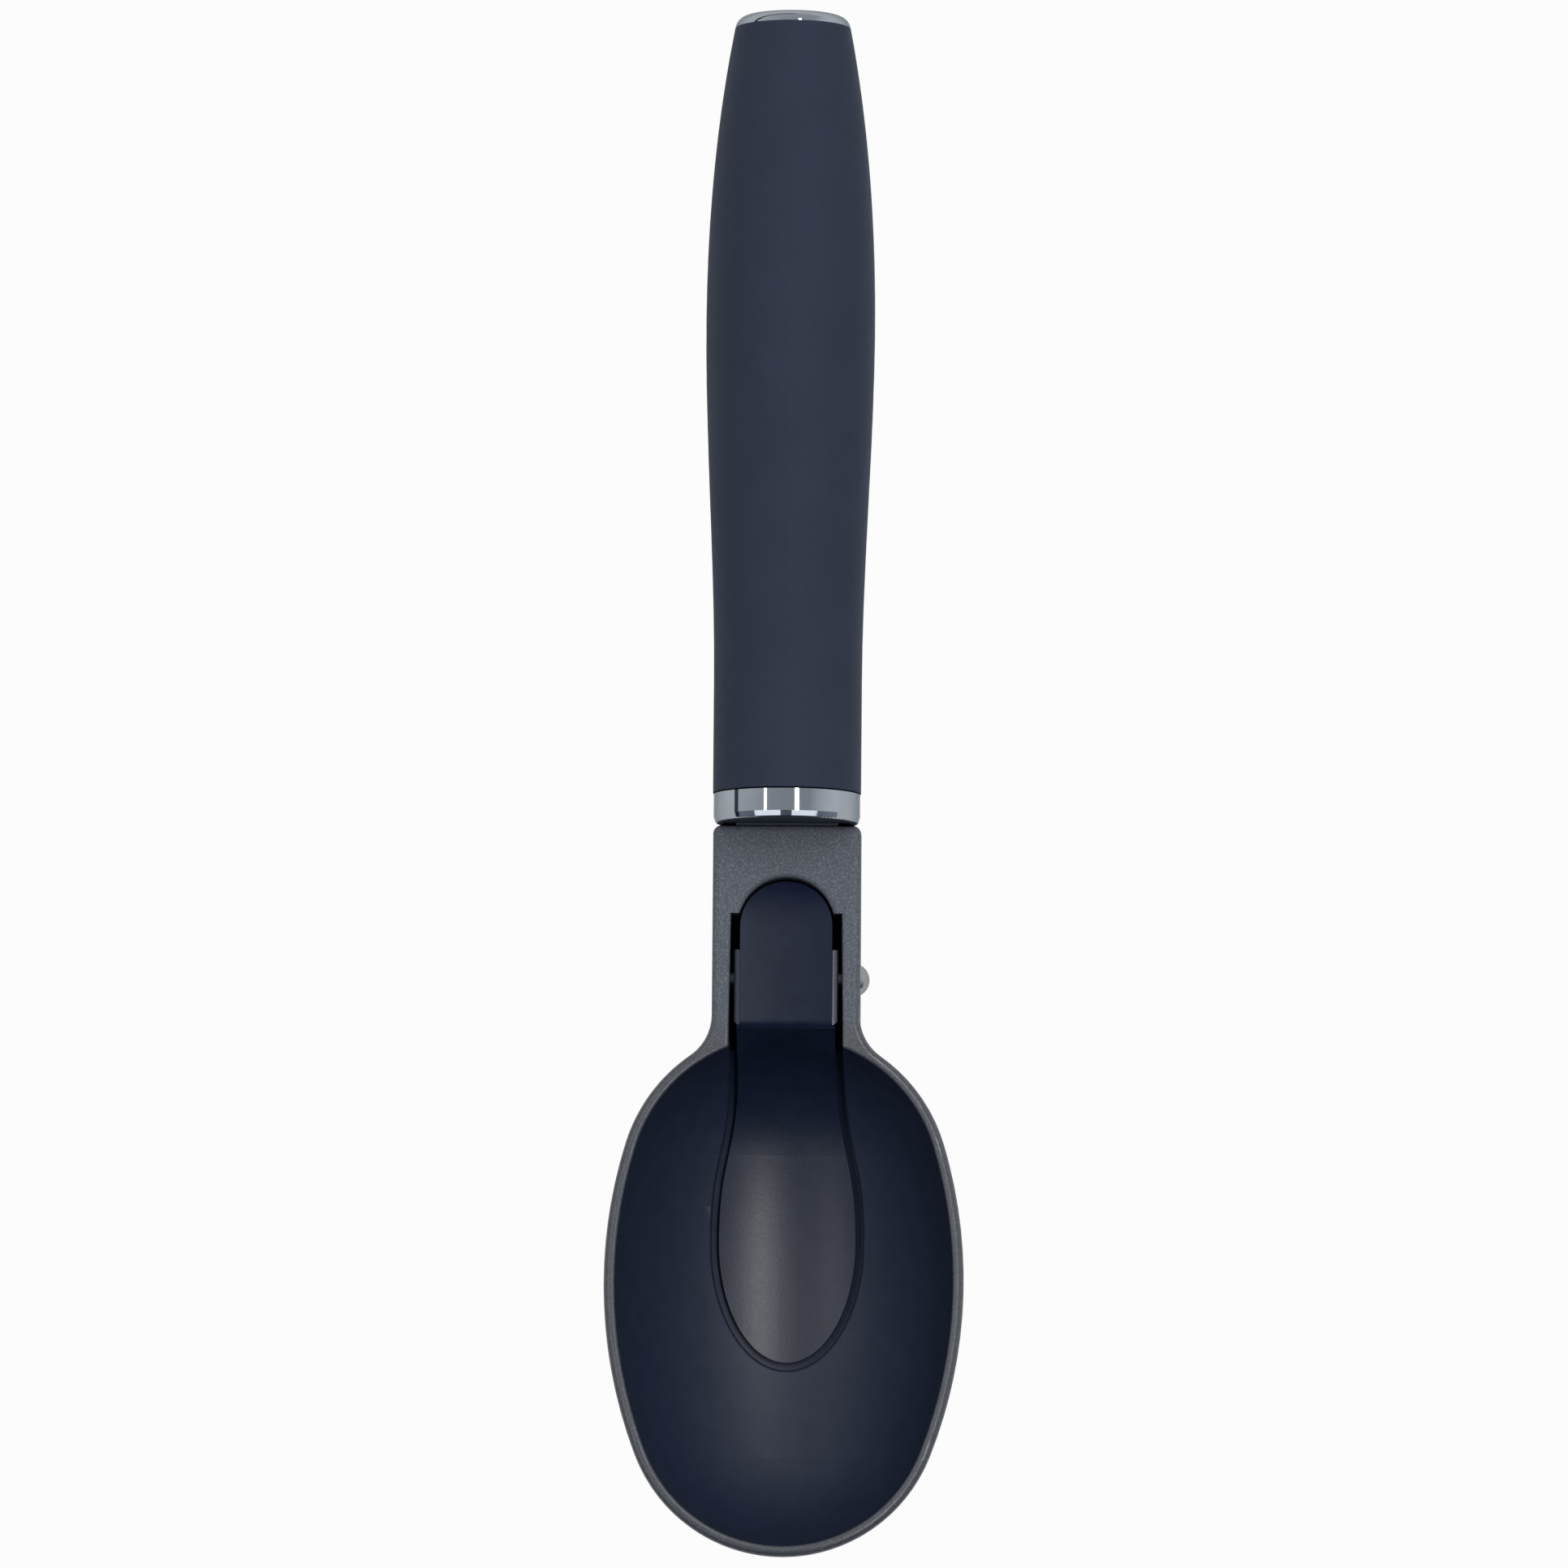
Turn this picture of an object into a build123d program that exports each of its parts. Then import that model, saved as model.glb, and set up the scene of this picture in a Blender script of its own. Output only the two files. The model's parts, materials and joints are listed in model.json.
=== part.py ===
from build123d import *
import os
from math import acos, asin, atan2, cos, degrees, hypot, pi, radians, sin, tan

# Ice cream scoop: a cast bowl and neck, a sprung lever whose tongue lies in the bowl, and a soft grip.
# Lengths are in millimetres and angles in degrees.
# The tool's own axes are x to the right, y along the handle away from the bowl, and z up from the bowl.
# They start on the handle's axis, at the shoulder where the neck meets the collar.

# Bowl
bowl_length = 75.6
bowl_width = 51.2
bowl_widest_share = 0.484
bowl_side_share = 0.608
rim_wall = 1.5
bottom_wall = 3.0
rim_rounding = 0.9
foot_depth = 0.3

# Neck
neck_length = 28.6
neck_width = 21.1
neck_drop = 2.0
shoulder_depth = 8.2
shoulder_rounding = 1.2
keel_slope = 7.7
keel_rounding = 4.0
flare_radius = 7.0

# Lever channel and thumb pocket in the neck
channel_width = 15.8
channel_start = 12.6
channel_depth = 7.5
pocket_side_gap = 0.3
pocket_end_gap = 0.5
pocket_rounding = 0.7
channel_rounding = 0.4
bed_rounding = 0.5

# Pivot
pivot_back = 21.8
pivot_drop = 4.0
pin_diameter = 3.0
pin_head_diameter = 4.3
pin_head_height = 1.3
press_clearance = 0.02
running_clearance = 0.05

# Lever
sheet = 1.0
plate_rise = 0.5
tab_width = 13.1
tab_reach = 13.9
tab_drop = 2.4
ear_width = 14.8
ear_back = 3.9
ear_front = 6.8
ear_skirt = 2.4
ear_lug_radius = 2.7
ear_corner = 0.6
ear_fold = 0.8
fold_reach = 7.05
fold_radius = 0.6
fold_length = 1.7
tongue_neck_width = 14.0
tongue_neck_end = 33.0
tongue_width = 19.6
tongue_widest = 58.3
tongue_length = 75.4
tongue_sink = 0.1
bed_side_gap = 1.1
bed_clearance = 0.35

# Return spring
spring_wire = 0.9
spring_clearance = 0.3
spring_pitch = 1.45
spring_turns = 3.5
spring_leg = 8.5

# Collar
collar_height = 4.3
collar_radius = 10.45
collar_wall = 1.4
collar_bevel_length = 0.9
collar_bevel_depth = 0.3
collar_edge = 0.25

# Tang and its cross pins
tang_radius = 7.6
tang_step = 0.2
tang_length = 62.0
tang_pin_diameter = 2.5
tang_pin_inset = 0.2
tang_pin_places = (18.0, 48.0)

# Grip and core
grip_length = 110.1
grip_straight = 16.0
grip_neck_radius = 10.55
grip_belly_radius = 12.06
grip_belly_at = 67.0
grip_end_radius = 8.29
grip_end_taper = 10.8
sleeve_wall = 2.0
sleeve_clearance = 0.02
core_recess = 0.3
core_bore_diameter = 9.6
core_bore_depth = 40.0

# End cap
cap_height = 1.7
cap_rounding = 1.8
cap_spigot_length = 8.0

os.makedirs("parts", exist_ok=True)

# Edges and surfaces closer than this count as being in the same place
same_place = 0.02

# Places worked out in the tool's own axes
rim_z = -neck_drop
bowl_half_width = bowl_width / 2
bowl_widest = bowl_widest_share * bowl_length
bowl_side_radius = bowl_side_share * bowl_length**2 / bowl_width
bowl_y = -neck_length - bowl_widest
tip_y = -neck_length - bowl_length
cavity_lift = bottom_wall - rim_wall
cavity_z = rim_z + cavity_lift
pivot_y = -pivot_back
pivot_z = rim_z - pivot_drop
plate_top = rim_z + plate_rise
plate_bottom = plate_top - sheet
collar_end = collar_height
grip_end = collar_end + grip_length
cap_end = grip_end + cap_height
tang_top = rim_z - tang_step
tang_pin_z = (tang_top - tang_radius) / 2
pocket_start = pivot_back - tab_reach - pocket_end_gap
half_channel = channel_width / 2
half_mouth = tongue_neck_width / 2 + bed_side_gap


def end_radius(reach):
    """Radius of the arc that ends the bowl's outline at this reach from its widest section."""
    side = 2 * bowl_side_radius * bowl_half_width - bowl_half_width**2
    return (side - reach**2) / (2 * (bowl_side_radius - reach))


# The bowl's outline has an arc at the neck, an arc on each side and an arc at the tip
root_radius = end_radius(bowl_widest)
root_center = -neck_length - root_radius
root_angle = degrees(asin((root_center - bowl_y) / (bowl_side_radius - root_radius)))
tip_radius = end_radius(bowl_length - bowl_widest)
tip_center = tip_y + tip_radius
tip_angle = degrees(asin((bowl_y - tip_center) / (bowl_side_radius - tip_radius)))


def taper_points(inset):
    """Control points, as (y, radius), of the grip's curve from its belly to its end."""
    start = collar_end + grip_belly_at
    third = (grip_end - start) / 3
    rise = third * tan(radians(grip_end_taper))
    return [
        (start, grip_belly_radius - inset),
        (start + third, grip_belly_radius - inset),
        (grip_end - third, grip_end_radius + rise - inset),
        (grip_end, grip_end_radius - inset),
    ]


# The scoop lies on its bowl and its grip: the table touches both from below
foot_radius = bowl_side_radius - foot_depth
foot_z = rim_z + bowl_side_radius - bowl_half_width
taper_curve = Bezier(*taper_points(0))
taper_steps = 60


def table_slope(point):
    """Slope of the line under the bowl that touches the grip's underside at point (y, radius)."""
    back = point.X - bowl_y
    rise = foot_z + point.Y
    return degrees(asin(foot_radius / hypot(back, rise))) - degrees(atan2(rise, back))


contact = min((taper_curve @ (k / taper_steps) for k in range(taper_steps + 1)), key=table_slope)
rest_angle = table_slope(contact)
lean = radians(rest_angle)


def cap_side_radius(y):
    """Radius of the end cap's side, which carries the grip's taper on."""
    return grip_end_radius - (y - grip_end) * tan(radians(grip_end_taper))


# The origin is under the middle of the overall length
front_y = tip_center * cos(lean) + rim_z * sin(lean) - tip_radius
cap_corner_y = cap_end - cap_rounding
cap_corner_radius = cap_side_radius(cap_corner_y) - cap_rounding / cos(radians(grip_end_taper))
back_y = cap_corner_y * cos(lean) + cap_corner_radius * sin(lean) + cap_rounding
tool_y = -(front_y + back_y) / 2
tool_z = contact.X * sin(lean) + contact.Y * cos(lean)

# Planes and axes of the tool, leaning as it rests
top_plane = Plane(origin=(0, tool_y, tool_z), x_dir=(1, 0, 0), z_dir=(0, sin(lean), cos(lean)))
side_plane = Plane(origin=top_plane.origin, x_dir=top_plane.y_dir, z_dir=top_plane.x_dir)
tool_up = Axis(top_plane.origin, top_plane.z_dir)
tool_right = Axis(top_plane.origin, top_plane.x_dir)
handle_axis = Axis(top_plane.origin, top_plane.y_dir)
shoulder_plane = Plane(origin=top_plane.origin, x_dir=-top_plane.x_dir, z_dir=top_plane.y_dir)
bowl_axis = Axis(top_plane.from_local_coords((0, 0, rim_z)), top_plane.y_dir)
cavity_axis = Axis(top_plane.from_local_coords((0, 0, cavity_z)), top_plane.y_dir)
pivot_axis = Axis(top_plane.from_local_coords((0, pivot_y, pivot_z)), top_plane.x_dir)


def half_oval(grow):
    """Right half of the bowl's four-arc outline, set out by grow."""
    side_center = (bowl_half_width - bowl_side_radius, bowl_y)
    with BuildLine() as outline:
        CenterArc((0, root_center), root_radius + grow, root_angle, 90 - root_angle)
        CenterArc(side_center, bowl_side_radius + grow, -tip_angle, tip_angle + root_angle)
        CenterArc((0, tip_center), tip_radius + grow, -90, 90 - tip_angle)
        Line((0, tip_y - grow), (0, grow - neck_length))
    make_face(outline.edges())


def tongue_outline(gap):
    """The tongue seen from above, set out by gap, from the fold to its round end."""
    half_neck = tongue_neck_width / 2 + gap
    half_spoon = tongue_width / 2 + gap
    start = pivot_y - fold_reach
    middle = -(tongue_neck_end + tongue_widest) / 2
    end_length = tongue_length - tongue_widest + gap
    with BuildLine() as outline:
        Polyline(
            (0, -tongue_widest - end_length),
            (0, start),
            (half_neck, start),
            (half_neck, -tongue_neck_end),
        )
        Bezier(
            (half_neck, -tongue_neck_end),
            (half_neck, middle),
            (half_spoon, middle),
            (half_spoon, -tongue_widest),
        )
        EllipticalCenterArc((0, -tongue_widest), half_spoon, end_length, start_angle=270, arc_size=90)
    make_face(outline.edges())
    mirror(about=Plane.YZ)


def tang_section(gap):
    """The tang's section, flat on top and round below, set out by gap."""
    Circle(tang_radius + gap)
    with Locations((0, tang_top + gap)):
        Rectangle(neck_width, neck_width, align=(Align.CENTER, Align.MIN), mode=Mode.SUBTRACT)


def cross_pins(gap):
    """Round bars across the handle where the tang's pins are, set out by gap."""
    with BuildSketch(side_plane) as pin_ends:
        with Locations([(place, tang_pin_z) for place in tang_pin_places]):
            Circle(tang_pin_diameter / 2 + gap)
    return pin_ends.sketch


# Bed for the tongue: a slice of the bowl's wall, cut out around the tongue
bed_depth = tongue_sink + sheet + bed_clearance
with BuildPart() as tongue_bed:
    with BuildSketch(top_plane.offset(cavity_z)):
        half_oval(bed_depth - rim_wall)
    revolve(axis=cavity_axis, revolution_arc=180)
    with BuildSketch(top_plane.offset(cavity_z)):
        tongue_outline(bed_side_gap)
    extrude(amount=-bowl_width, mode=Mode.INTERSECT)

# Hollow of the bowl
with BuildPart() as hollow:
    with BuildSketch(top_plane.offset(cavity_z)):
        half_oval(-rim_wall)
    revolve(axis=cavity_axis, revolution_arc=180)


def on_bed_rim(edge):
    """Whether an edge runs where the sides of the tongue's bed come out into the hollow."""
    middle = edge @ 0.5
    place = top_plane.to_local_coords(middle)
    beside_tongue = abs(place.X) < tongue_width / 2 + bed_depth and place.Y > -tongue_length - bed_depth
    return beside_tongue and hollow.part.distance_to(middle) < same_place


def on_neck_rim(edge, start, end):
    """Whether an edge runs round the top of the lever's channel or pocket, between two places along it."""
    place = top_plane.to_local_coords(edge @ 0.5)
    between = start - same_place < place.Y < end - same_place and abs(place.X) < half_mouth + same_place
    return between and abs(place.Z - rim_z) < same_place


def on_pocket_rim(edge):
    """Whether an edge runs round the top of the thumb pocket."""
    return on_neck_rim(edge, 2 * same_place - channel_start, 2 * same_place - pocket_start)


def on_channel_rim(edge):
    """Whether an edge runs along the top of the lever's channel, on either side."""
    return on_neck_rim(edge, root_center, -channel_start)


# Scoop body: the casting with the bowl, the neck and the tang
pocket_radius = tab_width / 2 + pocket_side_gap
tab_end = pivot_y + tab_reach
pocket_y = tab_end + pocket_end_gap - pocket_radius
keel_drop = -root_center * tan(radians(keel_slope))
with BuildPart() as scoop_body:
    with BuildSketch(side_plane):
        with BuildLine():
            Polyline(
                (0, rim_z),
                (0, rim_z - shoulder_depth),
                (root_center, rim_z - shoulder_depth - keel_drop),
                (root_center, rim_z),
                close=True,
            )
        make_face()
    extrude(amount=neck_width / 2, both=True)
    neck_sides = scoop_body.faces().filter_by(tool_right)
    fillet([side.edges().sort_by(tool_up)[0] for side in neck_sides], keel_rounding)
    shoulder = scoop_body.faces().sort_by(handle_axis)[-1]
    fillet(shoulder.edges().filter_by(tool_up), shoulder_rounding)
    with BuildSketch(top_plane.offset(rim_z)):
        half_oval(0)
    revolve(axis=bowl_axis, revolution_arc=180)
    fillet(scoop_body.edges(Select.NEW), flare_radius)
    top_face = scoop_body.faces().filter_by(tool_up).sort_by(tool_up)[-1]
    fillet(top_face.outer_wire().edges(), rim_rounding)
    add([hollow.part, tongue_bed.part], mode=Mode.SUBTRACT)
    with BuildSketch(top_plane.offset(rim_z)):
        with BuildLine():
            Polyline(
                (half_channel, -channel_start),
                (-half_channel, -channel_start),
                (-half_mouth, -neck_length),
                (-half_mouth, root_center),
                (half_mouth, root_center),
                (half_mouth, -neck_length),
                close=True,
            )
        make_face()
        with Locations((0, pocket_y)):
            Circle(pocket_radius)
            Rectangle(2 * pocket_radius, channel_start, align=(Align.CENTER, Align.MAX))
    extrude(amount=-channel_depth, mode=Mode.SUBTRACT)
    bed_rim = scoop_body.edges().filter_by(on_bed_rim)
    fillet(bed_rim, bed_rounding)
    pocket_rim = scoop_body.edges().filter_by(on_pocket_rim)
    fillet(pocket_rim, pocket_rounding)
    channel_rim = scoop_body.edges().filter_by(on_channel_rim)
    fillet(channel_rim, channel_rounding)
    with BuildSketch(side_plane.offset(-neck_width)):
        with Locations((pivot_y, pivot_z)):
            Circle(pin_diameter / 2 + press_clearance)
    extrude(amount=2 * neck_width, mode=Mode.SUBTRACT)
    with BuildSketch(shoulder_plane):
        tang_section(0)
    extrude(amount=tang_length)
    extrude(cross_pins(press_clearance), amount=neck_width, both=True, mode=Mode.SUBTRACT)
    split(bisect_by=Plane.XY, keep=Keep.TOP)
scoop_body.part.label = "scoop_body"
export_step(scoop_body.part, "parts/scoop_body.step")

# Where the lever's sheet turns down at its fold and meets the round of the bowl's end
fold_y = pivot_y - fold_reach
round_radius = root_radius - rim_wall + tongue_sink
round_distance = hypot(fold_y - root_center, cavity_z - plate_top)
leg_angle = atan2(cavity_z - plate_top, fold_y - root_center) + acos(round_radius / round_distance)
leg_y = -sin(leg_angle)
leg_z = -cos(leg_angle)
back_of_leg_y = sheet * cos(leg_angle)
back_of_leg_z = -sheet * sin(leg_angle)
leg_direction = top_plane.y_dir * leg_y + top_plane.z_dir * leg_z
fold_foot = (fold_y + fold_length * leg_y, plate_top + fold_length * leg_z)
round_foot = (root_center + round_radius * cos(leg_angle), cavity_z - round_radius * sin(leg_angle))
inner_run = sheet * (1 - sin(leg_angle)) / cos(leg_angle)
inner_fold = (fold_y + back_of_leg_y + inner_run * leg_y, plate_bottom)
fold_plane = Plane(top_plane.from_local_coords((0, *fold_foot)), top_plane.x_dir, leg_direction)
round_plane = Plane(top_plane.from_local_coords((0, *round_foot)), top_plane.x_dir, leg_direction)

# Tongue: a slice of sheet that follows the bowl's hollow
with BuildPart() as tongue:
    with BuildSketch(top_plane.offset(cavity_z)):
        half_oval(tongue_sink + sheet - rim_wall)
    revolve(axis=cavity_axis, revolution_arc=180)
    with BuildSketch(top_plane.offset(cavity_z)):
        half_oval(tongue_sink - rim_wall)
    revolve(axis=cavity_axis, revolution_arc=180, mode=Mode.SUBTRACT)
    with BuildSketch(top_plane.offset(cavity_z)):
        tongue_outline(0)
    extrude(amount=-bowl_width, mode=Mode.INTERSECT)
    split(bisect_by=round_plane, keep=Keep.TOP)

# Ears: the sides of the lever's plate, folded down round the pivot
with BuildPart() as lever_ears:
    with BuildSketch(side_plane):
        with Locations((pivot_y, pivot_z)):
            Circle(ear_lug_radius)
        with Locations((pivot_y - ear_front, plate_top)):
            Rectangle(ear_front + ear_back, ear_skirt, align=(Align.MIN, Align.MAX))
        make_hull()
    extrude(amount=ear_width / 2, both=True)
    chamfer(lever_ears.faces().sort_by(handle_axis)[0].edges().filter_by(tool_up), ear_corner)
    folds = lever_ears.faces().sort_by(tool_up)[-1].edges().filter_by(handle_axis)
    fillet(folds, ear_fold)
    with BuildSketch(top_plane.offset(plate_bottom)):
        with Locations((0, pivot_y)):
            Rectangle(ear_width - 2 * sheet, bowl_width)
    extrude(amount=-bowl_width, mode=Mode.SUBTRACT)
    with BuildSketch(top_plane.offset(plate_bottom)):
        with Locations((0, pivot_y)):
            Rectangle(tab_width, bowl_width)
    extrude(amount=bowl_width, mode=Mode.SUBTRACT)
    with BuildSketch(side_plane.offset(-neck_width)):
        with Locations((pivot_y, pivot_z)):
            Circle(pin_diameter / 2 + running_clearance)
    extrude(amount=2 * neck_width, mode=Mode.SUBTRACT)

# Lever: thumb tab, plate with folded ears, and the leg that dishes down into the tongue
tab_root = pivot_y + ear_back
tab_run = tab_end - tab_root
tab_radius = (tab_run**2 + tab_drop**2) / (2 * tab_drop)
tab_arc = degrees(asin(tab_run / tab_radius))
tab_center = (tab_root, plate_top - tab_radius)
with BuildPart() as ejector_lever:
    with BuildSketch(side_plane) as lever_profile:
        with BuildLine():
            upper = CenterArc(tab_center, tab_radius, 90 - tab_arc, tab_arc)
            lower = CenterArc(tab_center, tab_radius - sheet, 90 - tab_arc, tab_arc)
            Line(upper @ 0, lower @ 0)
            Polyline(
                upper @ 1,
                (fold_y, plate_top),
                fold_foot,
                (fold_foot[0] + back_of_leg_y, fold_foot[1] + back_of_leg_z),
                inner_fold,
                lower @ 1,
            )
        make_face()
        fillet(lever_profile.vertices().sort_by_distance((fold_y, plate_top))[0], fold_radius + sheet)
        fillet(lever_profile.vertices().sort_by_distance(inner_fold)[0], fold_radius)
    extrude(amount=ear_width / 2, both=True)
    with BuildSketch(top_plane):
        with Locations((0, pivot_y - ear_front)):
            Rectangle(tongue_neck_width, -root_center, align=(Align.CENTER, Align.MAX))
            Rectangle(tab_width, ear_front + tab_reach - tab_width / 2, align=(Align.CENTER, Align.MIN))
        with Locations((0, tab_end - tab_width / 2)):
            Circle(tab_width / 2)
    extrude(amount=bowl_width, both=True, mode=Mode.INTERSECT)
    add(lever_ears.part)
    with BuildSketch(fold_plane) as flat_section:
        Rectangle(tongue_neck_width, sheet, align=(Align.CENTER, Align.MAX))
    with BuildSketch(round_plane) as dished_section:
        with BuildLine():
            half_neck = tongue_neck_width / 2
            front = round_radius - (round_radius**2 - half_neck**2) ** 0.5
            back = round_radius - ((round_radius + sheet) ** 2 - half_neck**2) ** 0.5
            ThreePointArc((-half_neck, front), (0, 0), (half_neck, front))
            ThreePointArc((-half_neck, back), (0, -sheet), (half_neck, back))
            Line((-half_neck, front), (-half_neck, back))
            Line((half_neck, front), (half_neck, back))
        make_face()
    loft(sections=[flat_section.sketch, dished_section.sketch], ruled=True)
    add(tongue.part)
ejector_lever.part.label = "ejector_lever"
export_step(ejector_lever.part, "parts/ejector_lever.step")

# Pivot pin: a rivet with a domed head on the right, flush on the left
dome_radius = ((pin_head_diameter / 2) ** 2 + pin_head_height**2) / (2 * pin_head_height)
dome_center = neck_width / 2 + pin_head_height - dome_radius
dome_arc = degrees(asin(pin_head_diameter / 2 / dome_radius))
with BuildPart() as pivot_pin:
    with BuildSketch(Plane(pivot_axis.position, top_plane.x_dir, top_plane.z_dir)):
        with BuildLine():
            dome = CenterArc((dome_center, 0), dome_radius, 0, dome_arc)
            Polyline(
                dome @ 1,
                (neck_width / 2, pin_diameter / 2),
                (-neck_width / 2, pin_diameter / 2),
                (-neck_width / 2, 0),
                dome @ 0,
            )
        make_face()
    revolve(axis=pivot_axis)
pivot_pin.part.label = "pivot_pin"
export_step(pivot_pin.part, "parts/pivot_pin.step")

# Return spring: a coil round the pin with one leg on the channel floor and one under the tab
coil_radius = (pin_diameter + spring_wire) / 2 + spring_clearance
coil_start = -spring_pitch * spring_turns / 2
quarter_turns = round(spring_turns * 4)


def coil_point(turn):
    """Point of the coil's centre line after so many turns from its lowest point."""
    angle = 2 * pi * turn
    y = pivot_y - coil_radius * sin(angle)
    z = pivot_z - coil_radius * cos(angle)
    return top_plane.from_local_coords(Vector(coil_start + spring_pitch * turn, y, z))


def coil_direction(turn):
    """Direction of the coil's centre line after so many turns."""
    angle = 2 * pi * turn
    around = top_plane.z_dir * sin(angle) - top_plane.y_dir * cos(angle)
    return (top_plane.x_dir * spring_pitch + around * 2 * pi * coil_radius).normalized()


def half_of_biarc(start, corner, joint):
    """Arc from start to joint whose tangents meet at corner, at equal distances from both."""
    middle = (start + joint) * 0.5
    half_chord = (joint - start).length / 2
    reach = (corner - start).length
    ThreePointArc(start, middle + (corner - middle) * (half_chord / (reach + half_chord)), joint)


with BuildPart() as return_spring:
    with BuildLine() as spring_path:
        Line(coil_point(0) - coil_direction(0) * spring_leg, coil_point(0))
        for quarter in range(quarter_turns):
            start = coil_point(quarter / 4)
            end = coil_point((quarter + 1) / 4)
            leaving = coil_direction(quarter / 4)
            arriving = coil_direction((quarter + 1) / 4)
            chord = end - start
            along = chord.dot(leaving + arriving)
            bend = 2 * (1 - leaving.dot(arriving))
            reach = ((along**2 + bend * chord.dot(chord)) ** 0.5 - along) / bend
            joint = (start + leaving * reach + end - arriving * reach) * 0.5
            half_of_biarc(start, start + leaving * reach, joint)
            half_of_biarc(joint, end - arriving * reach, end)
        Line(coil_point(spring_turns), coil_point(spring_turns) + coil_direction(spring_turns) * spring_leg)
    with BuildSketch(Plane(spring_path.line @ 0, z_dir=spring_path.line % 0)):
        Circle(spring_wire / 2)
    sweep()
return_spring.part.label = "return_spring"
export_step(return_spring.part, "parts/return_spring.step")

# Collar: a plated ring round the core's front spigot
with BuildPart() as collar:
    with BuildSketch(side_plane) as collar_section:
        with BuildLine():
            Polyline(
                (0, collar_radius - collar_wall),
                (0, collar_radius - collar_bevel_depth),
                (collar_bevel_length, collar_radius),
                (collar_end, collar_radius),
                (collar_end, collar_radius - collar_wall),
                close=True,
            )
        make_face()
        collar_foot = (0, collar_radius - collar_bevel_depth)
        fillet(collar_section.vertices().sort_by_distance(collar_foot)[0], collar_edge)
        chamfer(collar_section.vertices().sort_by_distance((collar_end, collar_radius))[0], collar_edge)
    revolve(axis=handle_axis)
collar.part.label = "collar"
export_step(collar.part, "parts/collar.step")


def grip_curve(inset):
    """Side of the grip from the collar to the cap, as (y, radius), set in by inset."""
    straight_end = collar_end + grip_straight
    belly = collar_end + grip_belly_at
    third = (belly - straight_end) / 3
    Line((collar_end, grip_neck_radius - inset), (straight_end, grip_neck_radius - inset))
    Bezier(
        (straight_end, grip_neck_radius - inset),
        (straight_end + third, grip_neck_radius - inset),
        (belly - third, grip_belly_radius - inset),
        (belly, grip_belly_radius - inset),
    )
    Bezier(*taper_points(inset))


# Handle core: hard plastic, with a slot for the tang and a bore for the cap's spigot
core_bore = core_bore_diameter / 2
spigot_radius = collar_radius - collar_wall - press_clearance
with BuildPart() as handle_core:
    with BuildSketch(side_plane):
        with BuildLine():
            grip_curve(sleeve_wall)
            Polyline(
                (grip_end, grip_end_radius - sleeve_wall),
                (grip_end, core_bore),
                (grip_end - core_bore_depth, core_bore),
                (grip_end - core_bore_depth, 0),
                (core_recess, 0),
                (core_recess, spigot_radius),
                (collar_end, spigot_radius),
                (collar_end, grip_neck_radius - sleeve_wall),
            )
        make_face()
    revolve(axis=handle_axis)
    with BuildSketch(shoulder_plane):
        tang_section(press_clearance)
    extrude(amount=tang_length + press_clearance, mode=Mode.SUBTRACT)
    extrude(cross_pins(press_clearance), amount=neck_width, both=True, mode=Mode.SUBTRACT)
handle_core.part.label = "handle_core"
export_step(handle_core.part, "parts/handle_core.step")

# Tang pins: two dowels across the core and the tang, under the sleeve
pin_depth = tang_pin_diameter / 2 - tang_pin_z
tang_pin_half_length = ((grip_neck_radius - sleeve_wall) ** 2 - pin_depth**2) ** 0.5 - tang_pin_inset
with BuildPart() as tang_pins:
    extrude(cross_pins(0), amount=tang_pin_half_length, both=True)
tang_pins.part.label = "tang_pins"
export_step(tang_pins.part, "parts/tang_pins.step")

# Grip sleeve: soft skin moulded over the core
sleeve_inset = sleeve_wall - sleeve_clearance
with BuildPart() as grip_sleeve:
    with BuildSketch(side_plane):
        with BuildLine():
            grip_curve(0)
            grip_curve(sleeve_inset)
            Line((collar_end, grip_neck_radius), (collar_end, grip_neck_radius - sleeve_inset))
            Line((grip_end, grip_end_radius), (grip_end, grip_end_radius - sleeve_inset))
        make_face()
    revolve(axis=handle_axis)
grip_sleeve.part.label = "grip_sleeve"
export_step(grip_sleeve.part, "parts/grip_sleeve.step")

# End cap: plated, with a spigot pressed into the core
cap_spigot_radius = core_bore - press_clearance
with BuildPart() as end_cap:
    with BuildSketch(side_plane) as cap_section:
        with BuildLine():
            Polyline(
                (grip_end - cap_spigot_length, 0),
                (grip_end - cap_spigot_length, cap_spigot_radius),
                (grip_end, cap_spigot_radius),
                (grip_end, grip_end_radius),
                (cap_end, cap_side_radius(cap_end)),
                (cap_end, 0),
                close=True,
            )
        make_face()
        cap_corner = cap_section.vertices().sort_by_distance((cap_end, cap_side_radius(cap_end)))[0]
        fillet(cap_corner, cap_rounding)
    revolve(axis=handle_axis)
end_cap.part.label = "end_cap"
export_step(end_cap.part, "parts/end_cap.step")

# Report of the places that other work needs, and of the coil's least gap to itself
samples = 400
path_points = [spring_path.line @ (k / samples) for k in range(samples + 1)]
half_turn = pi * coil_radius
path_length = sum(edge.length for edge in spring_path.edges())
apart = round(half_turn / path_length * samples)
coil_gap = min(
    (path_points[i] - path_points[j]).length
    for i in range(samples + 1)
    for j in range(i + apart, samples + 1)
)
print("rest angle", round(rest_angle, 3))
print("pivot", [round(value, 3) for value in pivot_axis.position])
print("spring gap to itself", round(coil_gap - spring_wire, 3))
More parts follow.
